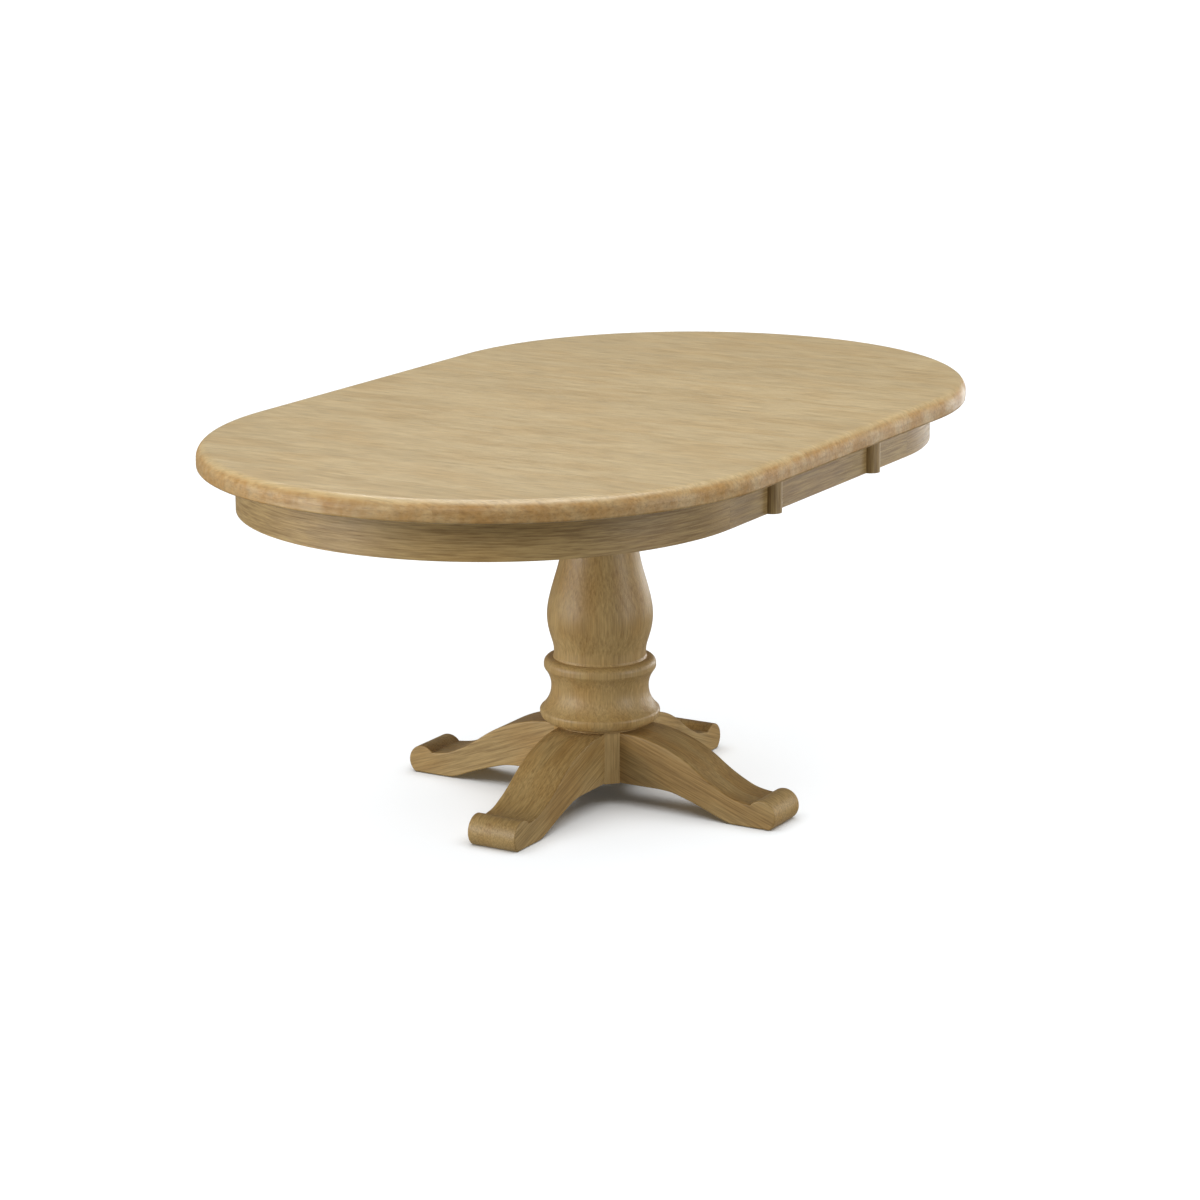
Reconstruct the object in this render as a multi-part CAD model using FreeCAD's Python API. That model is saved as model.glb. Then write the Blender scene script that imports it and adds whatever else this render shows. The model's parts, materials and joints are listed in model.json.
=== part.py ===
"""Extending pedestal dining table with racetrack top, one leaf, geared slides and scroll feet.

Frame: millimetres, +Z up, origin on the floor under the column's axis.
+X runs along the table's length, the way the two top halves draw apart; +Y runs across it.
"""
import FreeCAD, Part
import math
import os

V = FreeCAD.Vector

# ---- driving dimensions -------------------------------------------------------------------
TABLE_LENGTH = 1828.8          # 72 in with the leaf in
TABLE_WIDTH = 1066.8           # 42 in
TABLE_HEIGHT = 762.0           # 30 in
LEAF_LENGTH = 406.4            # 16 in leaf
SEAM_GAP = 0.2                 # left at each side of each seam
STRAIGHT_HALF = 364.0          # half the length of the straight sides
TOP_THICKNESS = 38.1           # 1 1/2 in
TOP_EDGE_RADIUS = 21.0
TOP_LOWER_RADIUS = 5.0

OVERHANG = 68.0                # top's edge to apron's face
APRON_DEPTH = 78.4
APRON_THICKNESS = 20.0
BEAD_RADIUS = 18.0             # quarter rounds that make a half round at each seam
BLOCK_THICKNESS = 22.0         # glue blocks behind the aprons
BLOCK_HEIGHT = 40.0
BLOCK_HALF_LENGTH = 35.0       # blocks round the curve
SPLICE_HALF_LENGTH = 50.0      # blocks behind the joints of side and end aprons

LEG_WIDTH = 102.0
LEG_EDGE_RADIUS = 3.0
LEG_TOP_Z = 145.0
LEG_UNDER_Z = 46.0
POST_HALF = 72.0               # hub post, half its width across the flats
FOOT_GAP = 1.5                 # the glides hold the feet this far off the floor
SCROLL_RADIUS = 30.0
SCROLL_REACH = 373.0           # scroll's centre, out from the column's axis
SCROLL_Z = 25.5
CREASE_SETBACK = 23.0          # from the scroll's centre back to the crease behind it
LEG_DOWEL_RADIUS = 6.0
LEG_DOWEL_LENGTH = 76.0
GLIDE_REACH = 352.0            # glide's centre, out from the column's axis
GLIDE_RADIUS = 13.0
PLATE_THICKNESS = 3.0          # spider plate under the hub
PLATE_REACH = 136.0
PLATE_HALF_WIDTH = 20.0

COLUMN_NECK = 86.0             # radii of the turned column, from the bottom up
COLUMN_FOOT = 115.2
COLUMN_RING = 107.3
COLUMN_VASE = 101.2
COLUMN_WAIST = 65.0
COLUMN_CAP = 90.0

ROD_RADIUS = 5.0               # tie rod through the whole pedestal
ROD_HOLE_RADIUS = 6.0
COLUMN_TOP_Z = 627.0
BOARD_THICKNESS = 22.0
BEARER_THICKNESS = 25.0
BEARER_X = 130.0
BEARER_WIDTH = 60.0
BEARER_HALF_LENGTH = 262.0

RAIL_LENGTH = 700.0            # centre rails and sliders alike
RAIL_HALF_WIDTH = 16.0
RAIL_Y = 210.0                 # slide sets, out from the middle of the table
SLIDER_WIDTH = 26.0
SLIDE_GAP = 1.0                # rail's side to slider's side
TONGUE_DEPTH = 8.0
TONGUE_ROOT_HALF = 5.0
TONGUE_TIP_HALF = 8.0
TONGUE_PLAY = 0.4

GEAR_MODULE = 2.5
PINION_TEETH = 18
PRESSURE_ANGLE = math.radians(20.0)
BACKLASH = 0.3                 # taken off each tooth's thickness
PINION_THICKNESS = 10.0
RACK_TEETH = 36
AXLE_RADIUS = 4.0
AXLE_PLAY = 0.05

LOCK_Y = 320.0
LOCK_INSET = 24.0              # pivot and keeper stud, each this far from the seam
LOCK_STUD_RADIUS = 4.0
LOCK_PLAY = 0.35
LOCK_PLATE = 3.0               # thickness of the plates under the top
LEVER_THICKNESS = 5.5

# ---- sizes that follow ----------------------------------------------------------------------
HALF_WIDTH = TABLE_WIDTH / 2.0
END_AXIS = TABLE_LENGTH / 2.0 - STRAIGHT_HALF
SEAM_X = LEAF_LENGTH / 2.0
TOP_UNDER_Z = TABLE_HEIGHT - TOP_THICKNESS
APRON_Z = TOP_UNDER_Z - APRON_DEPTH
APRON_Y = HALF_WIDTH - OVERHANG
BLOCK_Z = TOP_UNDER_Z - BLOCK_HEIGHT
BOARD_TOP_Z = COLUMN_TOP_Z + BOARD_THICKNESS
RAIL_Z = BOARD_TOP_Z + BEARER_THICKNESS
RAIL_TOP_Z = TOP_UNDER_Z - 1.0
SLIDER_Z = RAIL_Z + 2.0
TONGUE_Z = TOP_UNDER_Z - 15.0
GEAR_Z = RAIL_Z + 15.0         # mid height of pinion and racks
RACK_HALF_HEIGHT = 6.5
PITCH_RADIUS = GEAR_MODULE * PINION_TEETH / 2.0
RACK_PITCH = math.pi * GEAR_MODULE
ADDENDUM = 0.9 * GEAR_MODULE
DEDENDUM = 1.25 * GEAR_MODULE
RACK_BACK = PITCH_RADIUS + 9.5
SLIDER_INNER = RAIL_HALF_WIDTH + SLIDE_GAP
OPENED = SEAM_X                # each half stands this far out from its closed place
LOCK_REACH = 2.0 * LOCK_INSET
PLATE_Z = LEG_UNDER_Z - PLATE_THICKNESS
LEVER_TOP_Z = TOP_UNDER_Z - LOCK_PLATE - 0.5
LEVER_Z = LEVER_TOP_Z - LEVER_THICKNESS

NODES = {}


def save(name, shapes):
    """Keep one named sub-part: a single solid, or a group of separate ones."""
    if not isinstance(shapes, list):
        shapes = [shapes]
    NODES[name] = shapes[0] if len(shapes) == 1 else Part.makeCompound(shapes)


def box(x0, x1, y0, y1, z0, z1):
    low = V(min(x0, x1), min(y0, y1), min(z0, z1))
    return Part.makeBox(abs(x1 - x0), abs(y1 - y0), abs(z1 - z0), low)


def rod(x, y, z0, z1, radius):
    return Part.makeCylinder(radius, z1 - z0, V(x, y, z0), V(0, 0, 1))


def cut_all(shape, tools):
    for tool in tools:
        shape = shape.cut(tool)
    return shape.removeSplitter()


def turned(shape, degrees):
    """Copy of a shape, turned about the column's axis."""
    moved = shape.copy()
    moved.rotate(V(0, 0, 0), V(0, 0, 1), degrees)
    return moved


def flip(shape, x_side, y_side):
    """Mirror a shape made for +X and +Y to the quarter with the given signs."""
    if x_side < 0:
        shape = shape.mirror(V(0, 0, 0), V(1, 0, 0))
    if y_side < 0:
        shape = shape.mirror(V(0, 0, 0), V(0, 1, 0))
    return shape


def arc(a, b, c):
    return Part.Arc(a, b, c).toShape()


def line(a, b):
    return Part.LineSegment(a, b).toShape()


def smooth(points, start=None, end=None):
    """A smooth curve through a few points, with its end directions."""
    curve = Part.BSplineCurve()
    if start is None:
        curve.interpolate(Points=points)
    else:
        curve.interpolate(Points=points, InitialTangent=start, FinalTangent=end)
    return curve.toShape()


# ---- top and aprons -------------------------------------------------------------------------
def racetrack(inset, z0, z1):
    """Slab with straight sides and half-ellipse ends, inset from the top's edge."""
    end = END_AXIS - inset
    half = HALF_WIDTH - inset
    edges = []
    for side in (1, -1):
        ellipse = Part.Ellipse(V(side * STRAIGHT_HALF, 0, z0), end, half)
        first = -math.pi / 2 if side > 0 else math.pi / 2
        edges.append(ellipse.toShape(first, first + math.pi))
        y = side * half
        edges.append(line(V(side * STRAIGHT_HALF, y, z0), V(-side * STRAIGHT_HALF, y, z0)))
    return Part.Face(Part.Wire(edges)).extrude(V(0, 0, z1 - z0))


def edges_at_height(shape, z):
    found = []
    for edge in shape.Edges:
        box_of_edge = edge.BoundBox
        if abs(box_of_edge.ZMin - z) < 0.01 and abs(box_of_edge.ZMax - z) < 0.01:
            found.append(edge)
    return found


def make_top():
    slab = racetrack(0.0, TOP_UNDER_Z, TABLE_HEIGHT)
    slab = slab.makeFillet(TOP_EDGE_RADIUS, edges_at_height(slab, TABLE_HEIGHT))
    slab = slab.makeFillet(TOP_LOWER_RADIUS, edges_at_height(slab, TOP_UNDER_Z))
    beyond = TABLE_LENGTH
    z0 = TOP_UNDER_Z - 10.0
    z1 = TABLE_HEIGHT + 10.0
    inner = SEAM_X - SEAM_GAP
    leaf = slab.common(box(-inner, inner, -beyond, beyond, z0, z1))
    right = slab.common(box(SEAM_X, beyond, -beyond, beyond, z0, z1))
    return leaf, right


def make_end_apron():
    ring = racetrack(OVERHANG, APRON_Z, TOP_UNDER_Z)
    ring = ring.cut(racetrack(OVERHANG + APRON_THICKNESS, APRON_Z - 1.0, TOP_UNDER_Z + 1.0))
    reach = TABLE_LENGTH
    return ring.common(box(STRAIGHT_HALF, reach, -reach, reach, APRON_Z, TOP_UNDER_Z))


def make_bead(x_face, toward):
    """Quarter round beside a seam: x_face is its flat side, toward is the way it curves away."""
    whole = rod(x_face, APRON_Y, APRON_Z, TOP_UNDER_Z, BEAD_RADIUS)
    keep = box(x_face, x_face + toward * BEAD_RADIUS, APRON_Y, APRON_Y + BEAD_RADIUS, APRON_Z, TOP_UNDER_Z)
    return whole.common(keep)


def make_apron_blocks(inner_space):
    """Glue blocks of one end: splices behind the side joints, and blocks round the curve."""
    blocks = []
    inner_y = APRON_Y - APRON_THICKNESS
    for side in (1, -1):
        y_near = side * (inner_y - BLOCK_THICKNESS)
        splice = box(STRAIGHT_HALF - SPLICE_HALF_LENGTH, STRAIGHT_HALF + SPLICE_HALF_LENGTH,
                     y_near, side * APRON_Y, BLOCK_Z, TOP_UNDER_Z)
        blocks.append(splice.common(inner_space))
    inner_x = END_AXIS - OVERHANG - APRON_THICKNESS
    for degrees in (-58, -29, 0, 29, 58):
        t = math.radians(degrees)
        x = STRAIGHT_HALF + inner_x * math.cos(t)
        y = inner_y * math.sin(t)
        facing = math.degrees(math.atan2(math.sin(t) / inner_y, math.cos(t) / inner_x))
        block = box(-BLOCK_THICKNESS, 12, -BLOCK_HALF_LENGTH, BLOCK_HALF_LENGTH, BLOCK_Z, TOP_UNDER_Z)
        block.rotate(V(0, 0, 0), V(0, 0, 1), facing)
        block.translate(V(x, y, 0))
        blocks.append(block.common(inner_space))
    return blocks


# ---- pedestal -------------------------------------------------------------------------------
def make_leg():
    """Leg that reaches out along +X, with its scroll foot."""
    half = LEG_WIDTH / 2.0
    lift = FOOT_GAP
    foot_drop = SCROLL_Z - lift
    toe_x = SCROLL_REACH + math.sqrt(SCROLL_RADIUS ** 2 - foot_drop ** 2)
    crease_x = SCROLL_REACH - CREASE_SETBACK
    crease_z = SCROLL_Z + math.sqrt(SCROLL_RADIUS ** 2 - CREASE_SETBACK ** 2)
    scroll_mid = math.radians(40.0)
    out_x = SCROLL_REACH + SCROLL_RADIUS * math.cos(scroll_mid)
    out_z = SCROLL_Z + SCROLL_RADIUS * math.sin(scroll_mid)

    root_top = V(POST_HALF, -half, LEG_TOP_Z)
    brow = V(82.0, -half, LEG_TOP_Z)
    crease = V(crease_x, -half, crease_z)
    toe = V(toe_x, -half, lift)
    heel = V(318.0, -half, lift)
    arch = V(140.0, -half, LEG_UNDER_Z)
    root_under = V(POST_HALF, -half, LEG_UNDER_Z)
    top_points = [brow, V(138, -half, 138.0), V(182, -half, 124.0), V(226, -half, 100.5),
                  V(259, -half, 78.0), V(300, -half, 56.0), crease]
    under_points = [heel, V(287, -half, 8.0), V(254, -half, 21.0), V(199, -half, 39.5), arch]
    outline = Part.Wire([
        line(root_top, brow),
        smooth(top_points, V(1, 0, 0), V(1, 0, -0.1)),
        arc(crease, V(out_x, -half, out_z), toe),
        line(toe, heel),
        smooth(under_points, V(-1, 0, 0), V(-1, 0, 0)),
        line(arch, root_under),
        line(root_under, root_top),
    ])
    side = Part.Face(outline).extrude(V(0, half, 0))
    rounded = []
    for edge in side.Edges:
        span = edge.BoundBox
        in_side_plane = span.YMax < 0.01 - half
        at_root = span.XMax < POST_HALF + 0.01
        if in_side_plane and not at_root:
            rounded.append(edge)
    side = side.makeFillet(LEG_EDGE_RADIUS, rounded)
    return side.fuse(side.mirror(V(0, 0, 0), V(0, 1, 0))).removeSplitter()


def make_column():
    """Turned column, from its foot ring up to its cap, with the tie rod's hole."""
    hole = ROD_HOLE_RADIUS
    cove_x = 149.3
    cove_z = 219.0
    cove_r = 56.0
    low = LEG_TOP_Z + 6.0
    ring_z = 257.5
    vase_z = 276.5
    cap_z = COLUMN_TOP_Z - 29.0

    def cove_point(z):
        return V(cove_x - math.sqrt(cove_r ** 2 - (z - cove_z) ** 2), 0, z)

    vase = [V(88, 0, 281), V(88.6, 0, 296), V(95, 0, 320), V(COLUMN_VASE, 0, 358), V(95.2, 0, 400),
            V(84, 0, 440), V(76.5, 0, 470), V(68.5, 0, 510), V(COLUMN_WAIST, 0, 540)]
    cap_cove = [V(COLUMN_WAIST, 0, 556), V(69, 0, 578), V(86, 0, cap_z)]
    edges = [
        line(V(hole, 0, LEG_TOP_Z), V(COLUMN_NECK, 0, LEG_TOP_Z)),
        line(V(COLUMN_NECK, 0, LEG_TOP_Z), V(COLUMN_NECK, 0, low)),
        line(V(COLUMN_NECK, 0, low), V(COLUMN_FOOT - 20, 0, low)),
        arc(V(COLUMN_FOOT - 20, 0, low), V(109.34, 0, 156.86), V(COLUMN_FOOT, 0, 171)),
        arc(V(COLUMN_FOOT, 0, 171), V(114.43, 0, 174.34), cove_point(177.0)),
        arc(cove_point(177.0), cove_point(cove_z), cove_point(254.5)),
        line(cove_point(254.5), V(COLUMN_RING, 0, ring_z)),
        line(V(COLUMN_RING, 0, ring_z), V(COLUMN_RING, 0, 264)),
        arc(V(COLUMN_RING, 0, 264), V(103.8, 0, 272.5), V(95.3, 0, 276)),
        line(V(95.3, 0, 276), V(90, 0, vase_z)),
        line(V(90, 0, vase_z), vase[0]),
        smooth(vase, V(0, 0, 1), V(0, 0, 1)),
        arc(vase[-1], V(73, 0, 548), cap_cove[0]),
        smooth(cap_cove, V(0.1, 0, 1), V(1, 0, 0.6)),
        line(cap_cove[-1], V(COLUMN_CAP, 0, cap_z)),
        line(V(COLUMN_CAP, 0, cap_z), V(COLUMN_CAP, 0, cap_z + 6)),
        arc(V(COLUMN_CAP, 0, cap_z + 6), V(COLUMN_CAP + 6, 0, cap_z + 17.5), V(COLUMN_CAP, 0, COLUMN_TOP_Z)),
        line(V(COLUMN_CAP, 0, COLUMN_TOP_Z), V(hole, 0, COLUMN_TOP_Z)),
        line(V(hole, 0, COLUMN_TOP_Z), V(hole, 0, LEG_TOP_Z)),
    ]
    return Part.Face(Part.Wire(edges)).revolve(V(0, 0, 0), V(0, 0, 1), 360)


def make_hub_post():
    """Square post with its corners taken off just where the sides of the legs meet it."""
    c = LEG_WIDTH / 2.0
    h = POST_HALF
    corners = [(h, -c), (h, c), (c, h), (-c, h), (-h, c), (-h, -c), (-c, -h), (c, -h)]
    points = [V(x, y, LEG_UNDER_Z) for x, y in corners]
    post = Part.Face(Part.makePolygon(points + points[:1])).extrude(V(0, 0, LEG_TOP_Z - LEG_UNDER_Z))
    return post.cut(rod(0, 0, LEG_UNDER_Z - 1, LEG_TOP_Z + 1, ROD_HOLE_RADIUS))


def hexagon_nut(z0, height, across_flats):
    radius = across_flats / math.sqrt(3.0)
    points = []
    for k in range(6):
        a = math.radians(60.0 * k)
        points.append(V(radius * math.cos(a), radius * math.sin(a), z0))
    nut = Part.Face(Part.makePolygon(points + points[:1])).extrude(V(0, 0, height))
    return nut.cut(rod(0, 0, z0 - 1, z0 + height + 1, ROD_RADIUS))


def wood_screw(x, y, z0, z1, head_radius, head_height, shank_radius):
    """Screw driven upwards: head at the bottom, shank above it."""
    head = rod(x, y, z0, z0 + head_height, head_radius)
    return head.fuse(rod(x, y, z0 + head_height, z1, shank_radius)).removeSplitter()


def build_pedestal():
    turns = {"leg_right": 0, "leg_back": 90, "leg_left": 180, "leg_front": 270}
    leg = make_leg()
    leg_holes = []
    for z in (75.0, 118.0):
        start = V(POST_HALF - LEG_DOWEL_LENGTH / 2, 0, z)
        leg_holes.append(Part.makeCylinder(LEG_DOWEL_RADIUS, LEG_DOWEL_LENGTH, start, V(1, 0, 0)))
    plate_screws = []
    for x in (94.0, 124.0):
        plate_screws.append(wood_screw(x, 0, PLATE_Z - 2.5, PLATE_Z + 24, 5.0, 2.5, 2.5))
    glide_top = FOOT_GAP + 3.0
    glide = rod(GLIDE_REACH, 0, 0, glide_top, GLIDE_RADIUS)
    glide = glide.fuse(rod(GLIDE_REACH, 0, glide_top, glide_top + 13.0, 1.6)).removeSplitter()
    leg = cut_all(leg, leg_holes + plate_screws + [glide])

    arm = box(0, PLATE_REACH, -PLATE_HALF_WIDTH, PLATE_HALF_WIDTH, PLATE_Z, LEG_UNDER_Z)
    plate = arm.copy()
    dowels = []
    screws = []
    glides = []
    for name, degrees in turns.items():
        save(name, turned(leg, degrees))
        plate = plate.fuse(turned(arm, degrees))
        dowels += [turned(d, degrees) for d in leg_holes]
        screws += [turned(s, degrees) for s in plate_screws]
        glides.append(turned(glide, degrees))
    plate = cut_all(plate, screws + [rod(0, 0, PLATE_Z - 1, LEG_UNDER_Z + 1, ROD_HOLE_RADIUS)])
    save("hub_post", cut_all(make_hub_post(), dowels))
    save("leg_dowels", dowels)
    save("spider_plate", plate)
    save("spider_plate_screws", screws)
    save("foot_glides", glides)

    save("turned_column", make_column())
    washer_height = 2.0
    nut_height = 8.0
    nut_flats = 17.0
    washers = []
    for z in (PLATE_Z - washer_height, BOARD_TOP_Z):
        washer = rod(0, 0, z, z + washer_height, 15.0)
        washers.append(washer.cut(rod(0, 0, z - 1, z + washer_height + 1, ROD_RADIUS + 0.5)))
    save("tie_rod_washers", washers)
    low_nut = hexagon_nut(PLATE_Z - washer_height - nut_height, nut_height, nut_flats)
    high_nut = hexagon_nut(BOARD_TOP_Z + washer_height, nut_height, nut_flats)
    save("tie_rod_nuts", [low_nut, high_nut])
    save("tie_rod", rod(0, 0, PLATE_Z - 14.0, BOARD_TOP_Z + 14.0, ROD_RADIUS))


def build_top_frame():
    """Board and bearers on the column's top, and the two centre rails that they carry."""
    board_screws = []
    rail_screws = []
    for x_side in (1, -1):
        for y in (-80.0, 80.0):
            board_screws.append(wood_screw(x_side * BEARER_X, y, COLUMN_TOP_Z, RAIL_Z - 4, 5.0, 3.0, 2.5))
        for y in (-RAIL_Y, RAIL_Y):
            for dx in (-15.0, 15.0):
                x = x_side * BEARER_X + dx
                rail_screws.append(wood_screw(x, y, BOARD_TOP_Z, RAIL_Z + 26, 5.0, 3.0, 2.5))
    board = box(-168, 168, -125, 125, COLUMN_TOP_Z, BOARD_TOP_Z)
    corner_edges = [e for e in board.Edges if e.BoundBox.ZLength > 1.0]
    board = board.makeFillet(14.0, corner_edges)
    board = cut_all(board, board_screws + [rod(0, 0, COLUMN_TOP_Z - 1, BOARD_TOP_Z + 1, ROD_HOLE_RADIUS)])
    save("mounting_board", board)
    for name, x_side in (("left", -1), ("right", 1)):
        x = x_side * BEARER_X
        bearer = box(x - BEARER_WIDTH / 2, x + BEARER_WIDTH / 2, -BEARER_HALF_LENGTH, BEARER_HALF_LENGTH,
                     BOARD_TOP_Z, RAIL_Z)
        save("cross_bearer_" + name, cut_all(bearer, board_screws + rail_screws))
    save("bearer_screws", board_screws + rail_screws)

    axles = []
    window_half = PITCH_RADIUS + ADDENDUM + 2.0
    for name, side in (("front", -1), ("back", 1)):
        y = side * RAIL_Y
        low = y - RAIL_HALF_WIDTH
        high = y + RAIL_HALF_WIDTH
        rail = box(-RAIL_LENGTH / 2, RAIL_LENGTH / 2, low, high, RAIL_Z, RAIL_TOP_Z)
        for way in (1, -1):
            rail = rail.fuse(tongue(y, way, 0.0, RAIL_LENGTH / 2))
        window = box(-window_half, window_half, low - 9, high + 9,
                     GEAR_Z - PINION_THICKNESS / 2 - 1, GEAR_Z + PINION_THICKNESS / 2 + 1)
        axle = rod(0, y, RAIL_Z, GEAR_Z + 14, AXLE_RADIUS)
        save("centre_rail_" + name, cut_all(rail, [window, axle] + rail_screws))
        axles.append(axle)
        save("pinion_" + name, make_pinion(y))
    save("pinion_axles", axles)


def tongue(y, way, play, half_length):
    """Dovetail bar on the side of a centre rail; with play, the groove that runs on it."""
    root = y + way * (RAIL_HALF_WIDTH - (0.0 if play == 0.0 else 0.5))
    tip = y + way * (RAIL_HALF_WIDTH + TONGUE_DEPTH + play)
    root_half = TONGUE_ROOT_HALF + play
    tip_half = TONGUE_TIP_HALF + play
    points = [V(-half_length, root, TONGUE_Z - root_half), V(-half_length, tip, TONGUE_Z - tip_half),
              V(-half_length, tip, TONGUE_Z + tip_half), V(-half_length, root, TONGUE_Z + root_half)]
    return Part.Face(Part.makePolygon(points + points[:1])).extrude(V(2 * half_length, 0, 0))


# ---- gears ----------------------------------------------------------------------------------
def make_pinion(y):
    """Involute pinion on a vertical axle; one tooth points along +Y and one along -Y."""
    base = PITCH_RADIUS * math.cos(PRESSURE_ANGLE)
    tip = PITCH_RADIUS + ADDENDUM
    root = PITCH_RADIUS - DEDENDUM
    half_tooth = math.pi / (2 * PINION_TEETH) - BACKLASH / (2 * PITCH_RADIUS)
    involute_at_pitch = math.tan(PRESSURE_ANGLE) - PRESSURE_ANGLE
    z0 = GEAR_Z - PINION_THICKNESS / 2

    flank = []
    for step in range(5):
        radius = base + (tip - base) * step / 4.0
        slope = math.acos(base / radius)
        flank.append((radius, half_tooth + involute_at_pitch - (math.tan(slope) - slope)))

    def place(radius, angle):
        return V(radius * math.cos(angle), y + radius * math.sin(angle), z0)

    edges = []
    pitch_angle = 2 * math.pi / PINION_TEETH
    for k in range(PINION_TEETH):
        middle = math.pi / 2 + k * pitch_angle
        rising = [place(r, middle - a) for r, a in flank]
        falling = [place(r, middle + a) for r, a in reversed(flank)]
        root_in = place(root, middle - flank[0][1])
        root_out = place(root, middle + flank[0][1])
        next_root = place(root, middle + pitch_angle - flank[0][1])
        edges.append(line(root_in, rising[0]))
        edges.append(smooth(rising))
        edges.append(arc(rising[-1], place(tip, middle), falling[0]))
        edges.append(smooth(falling))
        edges.append(line(falling[-1], root_out))
        edges.append(arc(root_out, place(root, middle + pitch_angle / 2), next_root))
    gear = Part.Face(Part.Wire(edges)).extrude(V(0, 0, PINION_THICKNESS))
    return gear.cut(rod(0, y, z0 - 1, z0 + PINION_THICKNESS + 1, AXLE_RADIUS + AXLE_PLAY))


def make_rack(y, way):
    """Rack of the right half, on the side way of the rail at y, with its teeth facing the rail.

    It reaches from the pinion's place when the halves are closed to its place when they are
    fully drawn out, and a tooth gap stands at X = 0 for the pinion's tooth.
    """
    back = y + way * RACK_BACK
    tip = y + way * (PITCH_RADIUS - ADDENDUM)
    root = y + way * (PITCH_RADIUS + DEDENDUM)
    lean = math.tan(PRESSURE_ANGLE)
    half_at_pitch = RACK_PITCH / 4.0 - BACKLASH / 4.0
    half_tip = half_at_pitch - ADDENDUM * lean
    half_root = half_at_pitch + DEDENDUM * lean
    z0 = GEAR_Z - RACK_HALF_HEIGHT
    start = math.ceil((OPENED + 14.0) / RACK_PITCH) * RACK_PITCH
    finish = start - RACK_TEETH * RACK_PITCH
    points = [V(start, back, z0), V(start, root, z0)]
    for k in range(RACK_TEETH):
        middle = start - (k + 0.5) * RACK_PITCH
        points.append(V(middle + half_root, root, z0))
        points.append(V(middle + half_tip, tip, z0))
        points.append(V(middle - half_tip, tip, z0))
        points.append(V(middle - half_root, root, z0))
    points.append(V(finish, root, z0))
    points.append(V(finish, back, z0))
    return Part.Face(Part.makePolygon(points + points[:1])).extrude(V(0, 0, 2 * RACK_HALF_HEIGHT))


# ---- locks ----------------------------------------------------------------------------------
def make_lever():
    """Lock lever at the right-hand back seam, unlatched: it points along +Y from its pivot and
    swings a quarter turn to -X, where its curved slot takes the keeper's stud."""
    z0 = LEVER_Z
    z1 = LEVER_TOP_Z
    slot_inner = LOCK_REACH - LOCK_STUD_RADIUS - LOCK_PLAY
    slot_outer = LOCK_REACH + LOCK_STUD_RADIUS + LOCK_PLAY
    lever = rod(0, 0, z0, z1, 11.0).fuse(box(-8, 8, 0, LOCK_REACH + 10, z0, z1))
    lever = lever.fuse(box(-8, 2, LOCK_REACH + 10, LOCK_REACH + 26, z0, z1))
    slot = rod(0, 0, z0 - 1, z1 + 1, slot_outer).cut(rod(0, 0, z0 - 2, z1 + 2, slot_inner))
    slot = slot.common(box(-30, 0, 0, LOCK_REACH + 30, z0 - 1, z1 + 1))
    slot_end = rod(0, LOCK_REACH, z0 - 1, z1 + 1, LOCK_STUD_RADIUS + LOCK_PLAY)
    bore = rod(0, 0, z0 - 1, z1 + 1, LOCK_STUD_RADIUS + AXLE_PLAY)
    lever = cut_all(lever, [slot, slot_end, bore])
    lever.translate(V(SEAM_X + LOCK_INSET, LOCK_Y, 0))
    return lever


def make_lock_base():
    """Plate under the top half, with the pivot that carries the lever and its head."""
    x = SEAM_X + LOCK_INSET
    plate = box(x - 18, x + 18, LOCK_Y - 22, LOCK_Y + 22, TOP_UNDER_Z - LOCK_PLATE, TOP_UNDER_Z)
    pivot = rod(x, LOCK_Y, LEVER_Z - 1, TOP_UNDER_Z - LOCK_PLATE + 1, LOCK_STUD_RADIUS)
    head = rod(x, LOCK_Y, LEVER_Z - 3, LEVER_Z - 0.5, 7.0)
    return plate.fuse([pivot, head]).removeSplitter()


def make_keeper():
    """Plate under the leaf, with the stud that the lever hooks over."""
    x = SEAM_X - LOCK_INSET
    plate = box(x - 16, x + 16, LOCK_Y - 16, LOCK_Y + 16, TOP_UNDER_Z - LOCK_PLATE, TOP_UNDER_Z)
    stud = rod(x, LOCK_Y, LEVER_Z - 3, TOP_UNDER_Z - LOCK_PLATE + 1, LOCK_STUD_RADIUS)
    return plate.fuse(stud).removeSplitter()


# ---- top halves and leaf --------------------------------------------------------------------
def make_slider(rail_y, way, screws):
    """Right half's slider beside a centre rail; way is the side of the rail that it runs on."""
    x0 = OPENED - RAIL_LENGTH / 2
    x1 = OPENED + RAIL_LENGTH / 2
    inner = rail_y + way * SLIDER_INNER
    outer = inner + way * SLIDER_WIDTH
    bar = box(x0, x1, inner, outer, SLIDER_Z, TOP_UNDER_Z)
    groove = tongue(rail_y, way, TONGUE_PLAY, RAIL_LENGTH)
    channel = box(x0 - 1, x1 + 1, inner - way, rail_y + way * RACK_BACK,
                  GEAR_Z - RACK_HALF_HEIGHT, GEAR_Z + RACK_HALF_HEIGHT)
    return cut_all(bar, [groove, channel] + screws)


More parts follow.
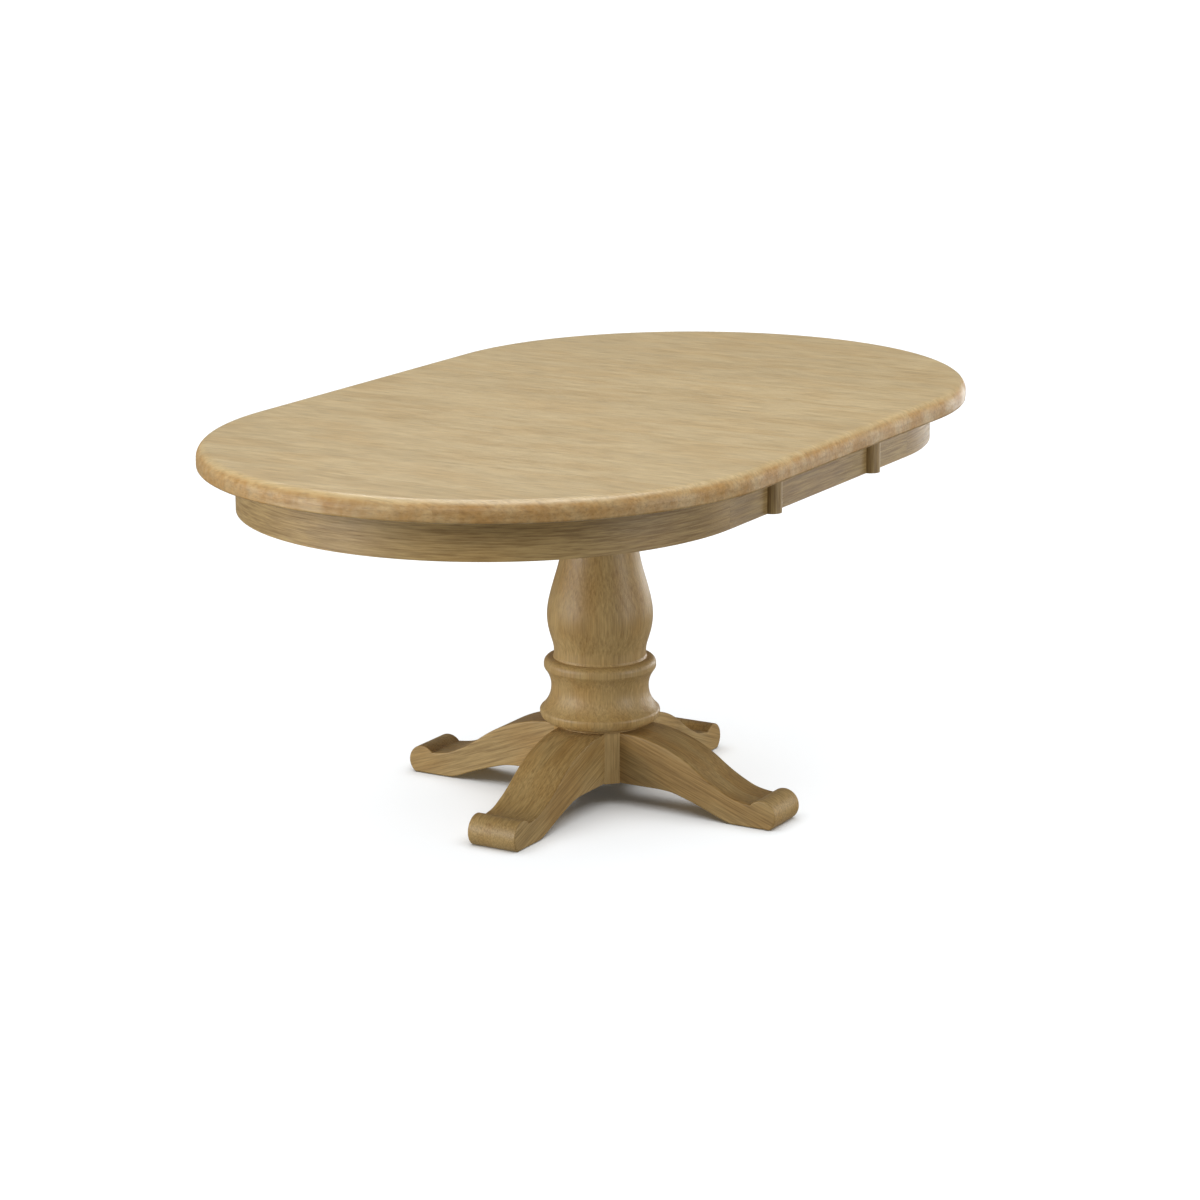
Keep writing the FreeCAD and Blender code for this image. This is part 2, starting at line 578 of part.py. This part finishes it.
def build_half(side_name, x_side, top, end_apron, blocks):
    """One half of the top, with its aprons, beads, sliders and racks. Right is +X.

    The right half's sliders run inside the centre rails and the left half's outside them, so
    the shapes are made for +X and turned over for the left half.
    """
    side_start = SEAM_X
    inner_y = APRON_Y - APRON_THICKNESS
    slider_way = -1 if x_side > 0 else 1
    screws_all = []
    for row, y_side in (("front", -1), ("back", 1)):
        side_apron = box(side_start, STRAIGHT_HALF, inner_y, APRON_Y, APRON_Z, TOP_UNDER_Z)
        save("side_apron_" + side_name + "_" + row, flip(side_apron, x_side, y_side))
        save("bead_" + side_name + "_" + row, flip(make_bead(side_start, 1), x_side, y_side))

        screw_y = RAIL_Y + slider_way * (SLIDER_INNER + SLIDER_WIDTH - 5.0)
        screws = []
        for x in (262.0, 390.0, 518.0):
            screws.append(wood_screw(x, screw_y, SLIDER_Z, TOP_UNDER_Z + 18, 4.5, 3.0, 2.2))
        rack = make_rack(RAIL_Y, slider_way)
        slider = make_slider(RAIL_Y, slider_way, screws)
        save("slider_" + side_name + "_" + row, flip(slider, x_side, y_side))
        save("rack_" + side_name + "_" + row, flip(rack, x_side, y_side))
        screws_all += [flip(s, x_side, y_side) for s in screws]
        save("lock_lever_" + side_name + "_" + row, flip(make_lever(), x_side, y_side))
    save("top_half_" + side_name, cut_all(flip(top, x_side, 1), screws_all))
    save("end_apron_" + side_name, flip(end_apron, x_side, 1))
    save("apron_blocks_" + side_name, [flip(b, x_side, 1) for b in blocks])
    save("slider_screws_" + side_name, screws_all)
    save("lock_bases_" + side_name, [flip(make_lock_base(), x_side, y) for y in (-1, 1)])


def build_leaf(panel):
    inner_x = SEAM_X - SEAM_GAP
    inner_y = APRON_Y - APRON_THICKNESS
    save("leaf_panel", panel)
    blocks = []
    for row, y_side in (("front", -1), ("back", 1)):
        apron = box(-inner_x, inner_x, inner_y, APRON_Y, APRON_Z, TOP_UNDER_Z)
        save("leaf_apron_" + row, flip(apron, 1, y_side))
        beads = [flip(make_bead(inner_x, -1), x_side, y_side) for x_side in (-1, 1)]
        save("leaf_beads_" + row, beads)
        for x in (-95.0, 95.0):
            block = box(x - 40, x + 40, inner_y - BLOCK_THICKNESS, inner_y, BLOCK_Z, TOP_UNDER_Z)
            blocks.append(flip(block, 1, y_side))
    save("leaf_apron_blocks", blocks)
    save("lock_keepers", [flip(make_keeper(), x, y) for x in (-1, 1) for y in (-1, 1)])


def main():
    build_pedestal()
    build_top_frame()
    leaf, half = make_top()
    inner_space = racetrack(OVERHANG + APRON_THICKNESS, BLOCK_Z, TOP_UNDER_Z)
    blocks = make_apron_blocks(inner_space)
    end_apron = make_end_apron()
    build_half("left", -1, half, end_apron, blocks)
    build_half("right", 1, half, end_apron, blocks)
    build_leaf(leaf)
    os.makedirs("parts", exist_ok=True)
    for name, shape in NODES.items():
        shape.exportStep("parts/" + name + ".step")
    print(len(NODES), "nodes")


main()
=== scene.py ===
"""The looks of a pedestal dining table: oak, steel and nylon finishes, a plain studio and a camera."""
import json
import math

import bpy
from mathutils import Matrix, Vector


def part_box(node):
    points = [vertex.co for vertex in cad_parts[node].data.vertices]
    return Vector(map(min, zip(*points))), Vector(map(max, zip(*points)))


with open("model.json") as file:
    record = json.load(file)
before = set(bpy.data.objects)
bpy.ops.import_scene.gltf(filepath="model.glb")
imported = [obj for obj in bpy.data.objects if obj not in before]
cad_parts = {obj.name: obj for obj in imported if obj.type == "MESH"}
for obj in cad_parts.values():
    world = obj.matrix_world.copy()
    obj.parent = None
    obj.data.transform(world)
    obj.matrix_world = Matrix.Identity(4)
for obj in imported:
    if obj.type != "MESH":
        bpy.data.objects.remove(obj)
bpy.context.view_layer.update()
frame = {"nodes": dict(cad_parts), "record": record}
record = frame["record"]
cad = frame["nodes"]


def linear(red, green, blue):
    """A colour given as 0..255 screen values, as the linear colour that a shader takes."""
    values = [channel / 255 for channel in (red, green, blue)]
    return tuple(((v + 0.055) / 1.055) ** 2.4 for v in values) + (1.0,)


# ---------------------------------------------------------------- node helpers


class Finish:
    """A material and short calls that add nodes to it. Values may be numbers or other nodes' outputs."""

    def __init__(self, name):
        self.material = bpy.data.materials.new(name)
        self.material.use_nodes = True
        self.tree = self.material.node_tree
        self.tree.nodes.clear()
        self.place = self.add("ShaderNodeTexCoord").outputs["Object"]

    def add(self, kind, inputs=None, **settings):
        node = self.tree.nodes.new(kind)
        for key, value in settings.items():
            setattr(node, key, value)
        for key, value in (inputs or {}).items():
            self.feed(node.inputs[key], value)
        return node

    def feed(self, socket, value):
        if isinstance(value, bpy.types.NodeSocket):
            self.tree.links.new(value, socket)
        else:
            socket.default_value = value

    def math(self, operation, first, second=0.0, clamp=False):
        return self.add("ShaderNodeMath", {0: first, 1: second}, operation=operation, use_clamp=clamp).outputs[0]

    def sum_of(self, start, *terms):
        """start plus each (weight, value) of the terms, where a value swings about 0.5."""
        total = start
        for weight, value in terms:
            swing = self.math("SUBTRACT", value, 0.5)
            total = self.math("ADD", total, self.math("MULTIPLY", swing, weight))
        return total

    def split(self, vector):
        return self.add("ShaderNodeSeparateXYZ", {0: vector}).outputs

    def join(self, x, y, z):
        return self.add("ShaderNodeCombineXYZ", {0: x, 1: y, 2: z}).outputs[0]

    def stretched(self, vector, along, across):
        """The vector scaled by one factor along the grain and another across it."""
        return self.add("ShaderNodeVectorMath", {0: vector, 1: (along, across, across)}, operation="MULTIPLY").outputs[0]

    def noise(self, vector, scale=1.0, detail=2.0, roughness=0.5, distortion=0.0):
        inputs = {"Vector": vector, "Scale": scale, "Detail": detail, "Roughness": roughness, "Distortion": distortion}
        return self.add("ShaderNodeTexNoise", inputs).outputs["Fac"]

    def remap(self, value, low, high, out_low=0.0, out_high=1.0, smooth=False):
        inputs = {"Value": value, "From Min": low, "From Max": high, "To Min": out_low, "To Max": out_high}
        kind = "SMOOTHSTEP" if smooth else "LINEAR"
        return self.add("ShaderNodeMapRange", inputs, interpolation_type=kind).outputs["Result"]

    def mix(self, factor, first, second, blend="MIX"):
        node = self.add("ShaderNodeMix", {0: factor}, data_type="RGBA", blend_type=blend)
        self.feed(node.inputs[6], first)
        self.feed(node.inputs[7], second)
        return node.outputs[2]

    def brightness(self, colour, factor):
        grey = self.join(factor, factor, factor)
        return self.mix(1.0, colour, grey, "MULTIPLY")

    def edge_wear(self, radius):
        """0 on open surfaces, rising to 1 on outside and inside corners tighter than the radius."""
        rounded = self.add("ShaderNodeBevel", {"Radius": radius}, samples=4).outputs[0]
        plain = self.add("ShaderNodeNewGeometry").outputs["True Normal"]
        facing = self.add("ShaderNodeVectorMath", {0: rounded, 1: plain}, operation="DOT_PRODUCT").outputs["Value"]
        return self.remap(facing, 0.99, 0.80, smooth=True)

    def surface(self, colour, roughness, height, bump_depth, **fixed):
        """Ends the material in one Principled shader. The fixed values go straight onto its sockets."""
        bump = self.add("ShaderNodeBump", {"Height": height, "Distance": bump_depth, "Strength": 1.0})
        shader = self.add("ShaderNodeBsdfPrincipled", {"Base Color": colour, "Roughness": roughness})
        self.feed(shader.inputs["Normal"], bump.outputs[0])
        for name, value in fixed.items():
            shader.inputs[name.replace("_", " ")].default_value = value
        output = self.add("ShaderNodeOutputMaterial")
        self.tree.links.new(shader.outputs[0], output.inputs["Surface"])
        return self.material


# ---------------------------------------------------------------- how the grain lies in each kind of part


def straight_grain(along, across, depth):
    """Grain space for a straight board: the axes, as 0, 1, 2 for X, Y, Z, along, across and into it."""

    def space(finish):
        axes = finish.split(finish.place)
        return finish.join(axes[along], axes[across], axes[depth])

    return space


def leg_grain(heading, slope):
    """Grain space for a leg that points along the heading and slopes down, both in degrees."""

    def space(finish):
        turn = (0.0, 0.0, math.radians(-heading))
        level = finish.add("ShaderNodeMapping", {"Vector": finish.place, "Rotation": turn}).outputs[0]
        tilt = (0.0, math.radians(-slope), 0.0)
        return finish.add("ShaderNodeMapping", {"Vector": level, "Rotation": tilt}).outputs[0]

    return space


def bent_grain(centre_x, radius):
    """Grain space for a part bent round an upright axis: the grain follows the curve."""

    def space(finish):
        axes = finish.split(finish.place)
        out = finish.math("SUBTRACT", axes[0], centre_x)
        angle = finish.math("ARCTAN2", axes[1], finish.math("ABSOLUTE", out))
        square = finish.math("ADD", finish.math("POWER", out, 2.0), finish.math("POWER", axes[1], 2.0))
        reach = finish.math("SQRT", square)
        return finish.join(finish.math("MULTIPLY", angle, radius), axes[2], reach)

    return space


# ---------------------------------------------------------------- finishes


def wood(name, space, light, dark, seed, board=0.11, streak=0.5, dashes=0.11, warmth=0.35,
         gloss=0.44, end_grain_and_shade=None, coat=0.12, fibres=360.0):
    """Solid wood under a satin lacquer: growth rings cut at a slant, streaks, fibres and pores."""
    finish = Finish(name)
    along, across, depth = finish.split(space(finish))

    # Each board of the glue-up is cut from another place in the tree.
    board_number = finish.math("FLOOR", finish.math("DIVIDE", across, board))
    pick = finish.add("ShaderNodeTexWhiteNoise", {"W": finish.math("ADD", board_number, seed)}, noise_dimensions="1D")
    chance = finish.split(pick.outputs["Color"])
    shifted_along = finish.math("ADD", along, finish.math("MULTIPLY", chance[0], 7.0))
    shifted_depth = finish.math("ADD", depth, finish.math("MULTIPLY", chance[1], 3.0))
    grain = finish.join(shifted_along, across, shifted_depth)

    # The rings are circles round a pith that lies below the board and wanders along it.
    middle = finish.math("MULTIPLY", finish.math("ADD", board_number, 0.5), board)
    pith_across = finish.math("ADD", middle, finish.math("MULTIPLY", finish.math("SUBTRACT", chance[2], 0.5), board))
    pith_depth = finish.remap(chance[0], 0.0, 1.0, -0.10, -0.05)
    sway = finish.noise(finish.stretched(grain, 1.6, 9.0), detail=3.0)
    side = finish.math("SUBTRACT", across, pith_across)
    lift = finish.math("SUBTRACT", depth, pith_depth)
    square = finish.math("ADD", finish.math("MULTIPLY", side, side), finish.math("MULTIPLY", lift, lift))
    ring_reach = finish.math("ADD", finish.math("SQRT", square), finish.math("MULTIPLY", sway, 0.035))
    ring_width = 0.0085
    ring_phase = finish.math("FRACT", finish.math("DIVIDE", ring_reach, ring_width))
    ring = finish.math("POWER", ring_phase, 2.2)

    broad = finish.noise(finish.stretched(grain, 7.0, 30.0), detail=3.0, roughness=0.6)
    cloud = finish.noise(finish.stretched(grain, 2.5, 9.0), detail=2.0)
    fibre = finish.noise(finish.stretched(grain, 14.0, fibres), detail=3.0, roughness=0.6)
    dash = finish.remap(finish.noise(finish.stretched(grain, 22.0, 240.0), detail=2.0, roughness=0.6), 0.52, 0.64)
    patch = finish.remap(finish.noise(finish.stretched(grain, 6.0, 16.0), detail=3.0), 0.44, 0.62)
    pore_field = finish.noise(finish.stretched(grain, 42.0, 1300.0), detail=1.0)
    pore = finish.remap(pore_field, 0.62, 0.74)

    tone = finish.sum_of(0.5, (-0.35 * streak, ring), (1.5 * streak, broad), (1.4 * streak, cloud), (5.2 * streak, fibre))
    colour = finish.mix(finish.math("ADD", tone, 0.0, clamp=True), dark, light)
    warm_colour = finish.mix(1.0, colour, WARM_TINT, "MULTIPLY")
    colour = finish.mix(finish.math("MULTIPLY", patch, warmth), colour, warm_colour)
    board_tone = finish.remap(chance[1], 0.0, 1.0, 0.965, 1.03)
    colour = finish.brightness(colour, board_tone)
    colour = finish.brightness(colour, finish.remap(dash, 0.0, 1.0, 1.0, 1.0 - dashes))
    colour = finish.brightness(colour, finish.remap(pore, 0.0, 1.0, 1.0, 0.86))

    # Where the outline turns away from the flat, the colour goes darker and warmer: partly the end grain soaking up the
    # finish, partly painted shade on the rim, which faces away from the light above.
    soaked_and_shaded = 0.0
    if end_grain_and_shade:
        upright = finish.split(finish.add("ShaderNodeNewGeometry").outputs["Normal"])[2]
        turned_away_shade = finish.remap(finish.math("ABSOLUTE", upright), 0.96, 0.55, smooth=True)
        blotch = finish.noise(finish.place, scale=16.0, detail=4.0, roughness=0.65)
        soaked_and_shaded = finish.math("MULTIPLY", turned_away_shade, finish.remap(blotch, 0.40, 0.60, 0.45, 1.0))
        colour = finish.mix(soaked_and_shaded, colour, finish.mix(1.0, colour, end_grain_and_shade, "MULTIPLY"))

    # Handled corners are rubbed a little paler and duller.
    wear = finish.edge_wear(0.004)
    rubbing = finish.noise(finish.place, scale=60.0, detail=2.0)
    wear = finish.math("MULTIPLY", wear, finish.remap(rubbing, 0.35, 0.65))
    colour = finish.brightness(colour, finish.remap(wear, 0.0, 1.0, 1.0, 1.06))

    roughness = finish.sum_of(gloss, (0.12, fibre), (0.10, cloud), (0.08, ring))
    roughness = finish.math("ADD", roughness, finish.math("MULTIPLY", wear, 0.10))
    roughness = finish.math("ADD", roughness, finish.math("MULTIPLY", soaked_and_shaded, 0.35))
    roughness = finish.math("ADD", roughness, finish.math("MULTIPLY", pore, 0.12))
    height = finish.sum_of(0.5, (0.5, fibre), (-0.2, ring))
    height = finish.math("SUBTRACT", height, finish.math("MULTIPLY", pore, 0.6))
    return finish.surface(colour, roughness, height, 0.00022, Coat_Weight=coat, Coat_Roughness=0.32)


def metal(name, light, dark, gloss, brushed, metallic=1.0):
    """Steel, plated or painted: faint clouds, fine scratches and brighter rubbed edges."""
    finish = Finish(name)
    cloud = finish.noise(finish.place, scale=45.0, detail=3.0)
    scratch = finish.noise(finish.stretched(finish.place, 90.0, 1500.0), detail=2.0)
    wear = finish.edge_wear(0.0008)
    tone = finish.sum_of(0.5, (0.9, cloud), (brushed, scratch))
    tone = finish.math("ADD", tone, finish.math("MULTIPLY", wear, 0.35), clamp=True)
    colour = finish.mix(tone, dark, light)
    roughness = finish.sum_of(gloss, (0.20, cloud), (0.15, scratch))
    height = finish.sum_of(0.5, (1.0, scratch))
    return finish.surface(colour, roughness, height, 0.00004, Metallic=metallic)


def nylon(name, light, dark):
    """Moulded nylon: a soft sheen and a very fine grain."""
    finish = Finish(name)
    cloud = finish.noise(finish.place, scale=70.0, detail=3.0)
    grain = finish.noise(finish.place, scale=1800.0, detail=1.0)
    scuff = finish.edge_wear(0.0008)
    tone = finish.sum_of(0.5, (0.9, cloud), (0.3, grain))
    tone = finish.math("ADD", tone, finish.math("MULTIPLY", scuff, 0.3), clamp=True)
    colour = finish.mix(tone, dark, light)
    roughness = finish.sum_of(0.42, (0.15, cloud), (0.1, grain))
    return finish.surface(colour, roughness, grain, 0.00006, Subsurface_Weight=0.1, Subsurface_Radius=(0.002, 0.002, 0.002))


TOP_LIGHT, TOP_DARK = linear(206, 183, 138), linear(176, 152, 106)
APRON_LIGHT, APRON_DARK = linear(178, 150, 98), linear(137, 109, 63)
BASE_LIGHT, BASE_DARK = linear(205, 173, 114), linear(160, 129, 77)
# The rim tint is partly the end grain's own darker colour and partly painted shade.
EDGE_TINT_AND_SHADE = linear(227, 201, 160)
WARM_TINT = linear(243, 228, 200)

X, Y, Z = 0, 1, 2
HALF_BEND = 0.45


slot_of = {part["node"]: part["material_slot"] for part in record["subparts"]}


def wood_for(node, seed):
    """The wood finish of one CAD node: its colour from its slot, its grain from the part that it is."""
    slot = slot_of[node]
    if slot == "top_oak":
        return wood(node, straight_grain(Y, X, Z), TOP_LIGHT, TOP_DARK, seed, streak=0.4, dashes=0.17,
                    end_grain_and_shade=EDGE_TINT_AND_SHADE, gloss=0.38, coat=0.2, fibres=150.0)
    if slot == "apron_oak":
        light, dark = APRON_LIGHT, APRON_DARK
        if node.startswith("end_apron"):
            low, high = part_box(node)
            inner = min(low.x, high.x, key=abs)
            return wood(node, bent_grain(inner, HALF_BEND), light, dark, seed, board=1.0, streak=0.6, gloss=0.5, coat=0.04)
        if "bead" in node:
            return wood(node, straight_grain(Z, X, Y), light, dark, seed, board=1.0, streak=0.6, gloss=0.5, coat=0.04)
        return wood(node, straight_grain(X, Z, Y), light, dark, seed, board=1.0, streak=0.6, gloss=0.5, coat=0.04)
    if slot == "base_oak":
        light, dark = BASE_LIGHT, BASE_DARK
        if node.startswith("leg_"):
            heading = {"leg_right": 0, "leg_back": 90, "leg_left": 180, "leg_front": 270}[node]
            return wood(node, leg_grain(heading, 20), light, dark, seed, board=1.0, streak=0.5, dashes=0.07, warmth=0.7,
                        gloss=0.52, coat=0.05)
        return wood(node, straight_grain(Z, X, Y), light, dark, seed, board=1.0, streak=0.38, dashes=0.05, warmth=0.7,
                    gloss=0.48, coat=0.08)
    light, dark = {
        "slide_maple": (linear(214, 192, 152), linear(188, 160, 116)),
        "frame_poplar": (linear(203, 190, 152), linear(174, 160, 118)),
        "dowel_beech": (linear(206, 176, 136), linear(180, 146, 104)),
    }[slot]
    low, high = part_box(node)
    size = high - low
    along, across, depth = sorted((X, Y, Z), key=lambda axis: -size[axis])
    return wood(node, straight_grain(along, across, depth), light, dark, seed, board=1.0, gloss=0.5, coat=0.0)


PLAIN_FINISHES = {
    "gear_nylon": nylon("gear_nylon", linear(226, 222, 210), linear(204, 199, 186)),
    "glide_nylon": nylon("glide_nylon", linear(96, 88, 78), linear(68, 62, 55)),
    "lock_steel": metal("lock_steel", linear(128, 112, 92), linear(88, 74, 58), 0.40, 0.5),
    "black_steel": metal("black_steel", linear(62, 61, 60), linear(36, 36, 36), 0.48, 0.3, metallic=0.6),
    "zinc_steel": metal("zinc_steel", linear(192, 191, 182), linear(142, 140, 130), 0.36, 0.4),
}

for seed, (node, piece) in enumerate(sorted(cad.items())):
    slot = slot_of[node]
    material = PLAIN_FINISHES.get(slot) or wood_for(node, seed * 3.7)
    piece.data.materials.clear()
    piece.data.materials.append(material)


# ---------------------------------------------------------------- the studio

FLOOR_SIZE = 160.0
BACKDROP_RADIUS = 90.0


def make_floor():
    """A pale floor that the shadows fall on. From below it is clear, so that the underside shows."""
    bpy.ops.mesh.primitive_plane_add(size=FLOOR_SIZE, location=(0.0, 0.0, 0.0))
    floor = bpy.context.object
    floor.name = "studio_floor"
    finish = Finish("studio_floor")
    mottle = finish.noise(finish.place, scale=3.0, detail=2.0)
    colour = finish.mix(mottle, linear(246, 249, 251), linear(249, 251, 253))
    matte = finish.add("ShaderNodeBsdfDiffuse", {"Color": colour, "Roughness": 0.5}).outputs[0]
    clear = finish.add("ShaderNodeBsdfTransparent").outputs[0]
    below = finish.add("ShaderNodeNewGeometry").outputs["Backfacing"]
    either = finish.add("ShaderNodeMixShader", {0: below, 1: matte, 2: clear}).outputs[0]
    finish.add("ShaderNodeOutputMaterial", {"Surface": either})
    floor.data.materials.append(finish.material)
    floor.visible_diffuse = False
    floor.visible_glossy = False
    return floor


def make_backdrop():
    """A white cyclorama all round, which the camera sees and which sheds no light."""
    bpy.ops.mesh.primitive_uv_sphere_add(radius=BACKDROP_RADIUS, segments=48, ring_count=24)
    backdrop = bpy.context.object
    backdrop.name = "studio_backdrop"
    finish = Finish("studio_backdrop")
    glow = finish.add("ShaderNodeEmission", {"Color": (1.0, 1.0, 1.0, 1.0), "Strength": 1.0}).outputs[0]
    finish.add("ShaderNodeOutputMaterial", {"Surface": glow})
    backdrop.data.materials.append(finish.material)
    for ray in ("diffuse", "glossy", "transmission", "shadow", "volume_scatter"):
        setattr(backdrop, "visible_" + ray, False)


def make_group(name, objects):
    group = bpy.data.collections.new(name)
    for thing in objects:
        group.objects.link(thing)
    return group


def make_softbox(name, place, aim, size, watts, colour=(1.0, 1.0, 1.0)):
    """A square area light at the place, facing the aim."""
    data = bpy.data.lights.new(name, "AREA")
    data.shape = "RECTANGLE"
    data.size, data.size_y = size
    data.energy = watts
    data.color = colour
    light = bpy.data.objects.new(name, data)
    bpy.context.scene.collection.objects.link(light)
    light.location = place
    light.rotation_euler = (Vector(aim) - Vector(place)).to_track_quat("-Z", "Y").to_euler()
    return light


# The view direction, seen from above, and the direction to its right.
VIEW_AZIMUTH = math.radians(-60.35)
VIEW_PITCH = math.radians(13.845)
CAMERA_REACH = 6.351
CAMERA_HEIGHT = 1.9504
FORWARD = Vector((-math.sin(VIEW_AZIMUTH), math.cos(VIEW_AZIMUTH), 0.0))
RIGHTWARD = Vector((FORWARD.y, -FORWARD.x, 0.0))
UPWARD = Vector((0.0, 0.0, 1.0))


def around(forward, right, up):
    """A place given as the camera sees it: metres forward, right and up from the foot of the column."""
    return FORWARD * forward + RIGHTWARD * right + UPWARD * up


floor = make_floor()
make_backdrop()
table_group = make_group("table_lit", cad.values())
floor_group = make_group("floor_lit", [floor])
base_group = make_group("floor_shade", [piece for node, piece in cad.items() if slot_of[node] == "base_oak"])

AIM = (0.0, 0.0, 0.5)
upper_group = make_group("upper_lit", [piece for node, piece in cad.items() if not node.startswith("leg_")])
table_lights = [
    make_softbox("overhead", around(0.0, 0.5, 4.5), AIM, (2.8, 2.8), 125.0),
    make_softbox("front_left", around(-2.3, -3.8, 1.3), AIM, (2.2, 2.4), 74.0),
    make_softbox("left", around(-0.4, -4.2, 1.0), AIM, (2.0, 1.8), 29.0),
    make_softbox("low_left", around(-1.8, -3.4, 0.4), AIM, (1.8, 0.8), 16.0),
    make_softbox("low_right", around(-2.0, 3.2, 0.4), AIM, (1.8, 0.8), 14.0),
    make_softbox("right_rim", around(1.6, 3.6, 0.8), AIM, (1.2, 2.2), 23.0),
    make_softbox("right_front", around(-1.8, 3.9, 1.4), AIM, (1.6, 2.0), 39.0),
]
upper_lights = [
    make_softbox("front_high", around(-3.4, -0.6, 2.6), AIM, (2.0, 1.4), 29.0),
    make_softbox("back_right", around(3.4, 2.6, 0.5), AIM, (1.6, 1.2), 29.0),
    make_softbox("back_high", around(2.8, -0.6, 4.0), AIM, (1.4, 1.4), 28.0),
]
for light in table_lights:
    light.light_linking.receiver_collection = table_group
for light in upper_lights:
    light.light_linking.receiver_collection = upper_group

sky = bpy.data.lights.new("floor_wash", "SUN")
sky.energy = 3.62
sky.angle = math.radians(92.0)
sky.cycles.max_bounces = 0
floor_light = bpy.data.objects.new("floor_wash", sky)
bpy.context.scene.collection.objects.link(floor_light)
floor_light.light_linking.receiver_collection = floor_group
floor_light.light_linking.blocker_collection = base_group

world = bpy.data.worlds.new("studio")
bpy.context.scene.world = world
world.use_nodes = True
world.node_tree.nodes["Background"].inputs["Color"].default_value = (1.0, 1.0, 1.0, 1.0)
world.node_tree.nodes["Background"].inputs["Strength"].default_value = 0.21

camera_data = bpy.data.cameras.new("camera")
camera_data.lens = 103.2
camera_data.sensor_width = 36.0
camera_data.clip_end = 400.0
camera = bpy.data.objects.new("camera", camera_data)
bpy.context.scene.collection.objects.link(camera)
camera.location = around(-CAMERA_REACH, 0.0, CAMERA_HEIGHT)
camera.rotation_euler = (math.pi / 2 - VIEW_PITCH, 0.0, VIEW_AZIMUTH)
bpy.context.scene.camera = camera

bpy.context.scene.view_settings.view_transform = "Standard"
